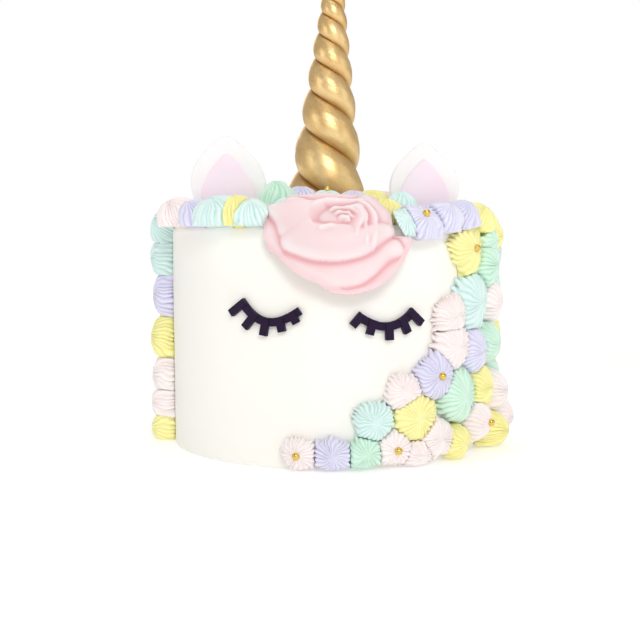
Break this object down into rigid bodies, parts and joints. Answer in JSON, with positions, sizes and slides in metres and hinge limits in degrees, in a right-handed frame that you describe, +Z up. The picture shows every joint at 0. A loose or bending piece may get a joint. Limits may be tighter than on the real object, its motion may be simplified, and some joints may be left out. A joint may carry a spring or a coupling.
{
  "type": "celebration cake",
  "caption": "Tall round iced cake made as a unicorn, with a twisted gold horn, leaf ears, closed lashes, a large rose and a mane of piped stars.",
  "frame": {"origin": "middle of the cake's flat base", "axes": "+Z up along the horn, -Y towards the side that the face looks to"},
  "size_m": [0.1953, 0.1899, 0.263],
  "materials": {
    "white_buttercream": "smooth soft icing",
    "pink": "piped soft icing",
    "lavender": "piped soft icing",
    "mint": "piped soft icing",
    "aqua": "piped soft icing",
    "yellow": "piped soft icing",
    "rose_pink": "piped soft icing",
    "horn_gold": "satin gold dust on sugar paste",
    "white_fondant": "rolled sugar paste",
    "pink_fondant": "rolled sugar paste",
    "dark_fondant": "rolled sugar paste"
  },
  "bodies": {
    "root": {"cake_iced": "white_buttercream", "ear_inner_left": "pink_fondant", "ear_inner_right": "pink_fondant", "ear_left": "white_fondant", "ear_right": "white_fondant", "horn": "horn_gold", "lashes_left": "dark_fondant", "lashes_right": "dark_fondant", "mane_back_left": "pink", "mane_back_right": "pink", "mane_collar": "aqua", "mane_top": "yellow", "rose": "rose_pink", "star_aqua_behind_rose": "aqua", "star_aqua_brow": "aqua", "star_aqua_ear": "aqua", "star_aqua_fringe": "aqua", "star_aqua_large": "aqua", "star_aqua_left": "aqua", "star_aqua_left_top": "aqua", "star_aqua_low": "aqua", "star_aqua_rose": "aqua", "star_lavender_brow": "lavender", "star_lavender_crown": "lavender", "star_lavender_fringe": "lavender", "star_lavender_left": "lavender", "star_lavender_low": "lavender", "star_lavender_pearl": "lavender", "star_lavender_rear": "lavender", "star_lavender_side": "lavender", "star_mint_crown": "mint", "star_mint_large": "mint", "star_mint_low": "mint", "star_mint_side": "mint", "star_mint_temple": "mint", "star_pink_brow": "pink", "star_pink_left": "pink", "star_pink_left_low": "pink", "star_pink_low_left": "pink", "star_pink_low_middle": "pink", "star_pink_low_pearl": "pink", "star_pink_low_small": "pink", "star_pink_lower": "pink", "star_pink_rear": "pink", "star_pink_right": "pink", "star_pink_right_low": "pink", "star_pink_right_pearl": "pink", "star_pink_small": "pink", "star_pink_upper": "pink", "star_yellow_brow": "yellow", "star_yellow_cheek": "yellow", "star_yellow_crown": "yellow", "star_yellow_fringe": "yellow", "star_yellow_left": "yellow", "star_yellow_left_low": "yellow", "star_yellow_low": "yellow", "star_yellow_right": "yellow", "star_yellow_side": "yellow", "star_yellow_small": "yellow", "star_yellow_temple": "yellow"}
  },
  "joints": []
}
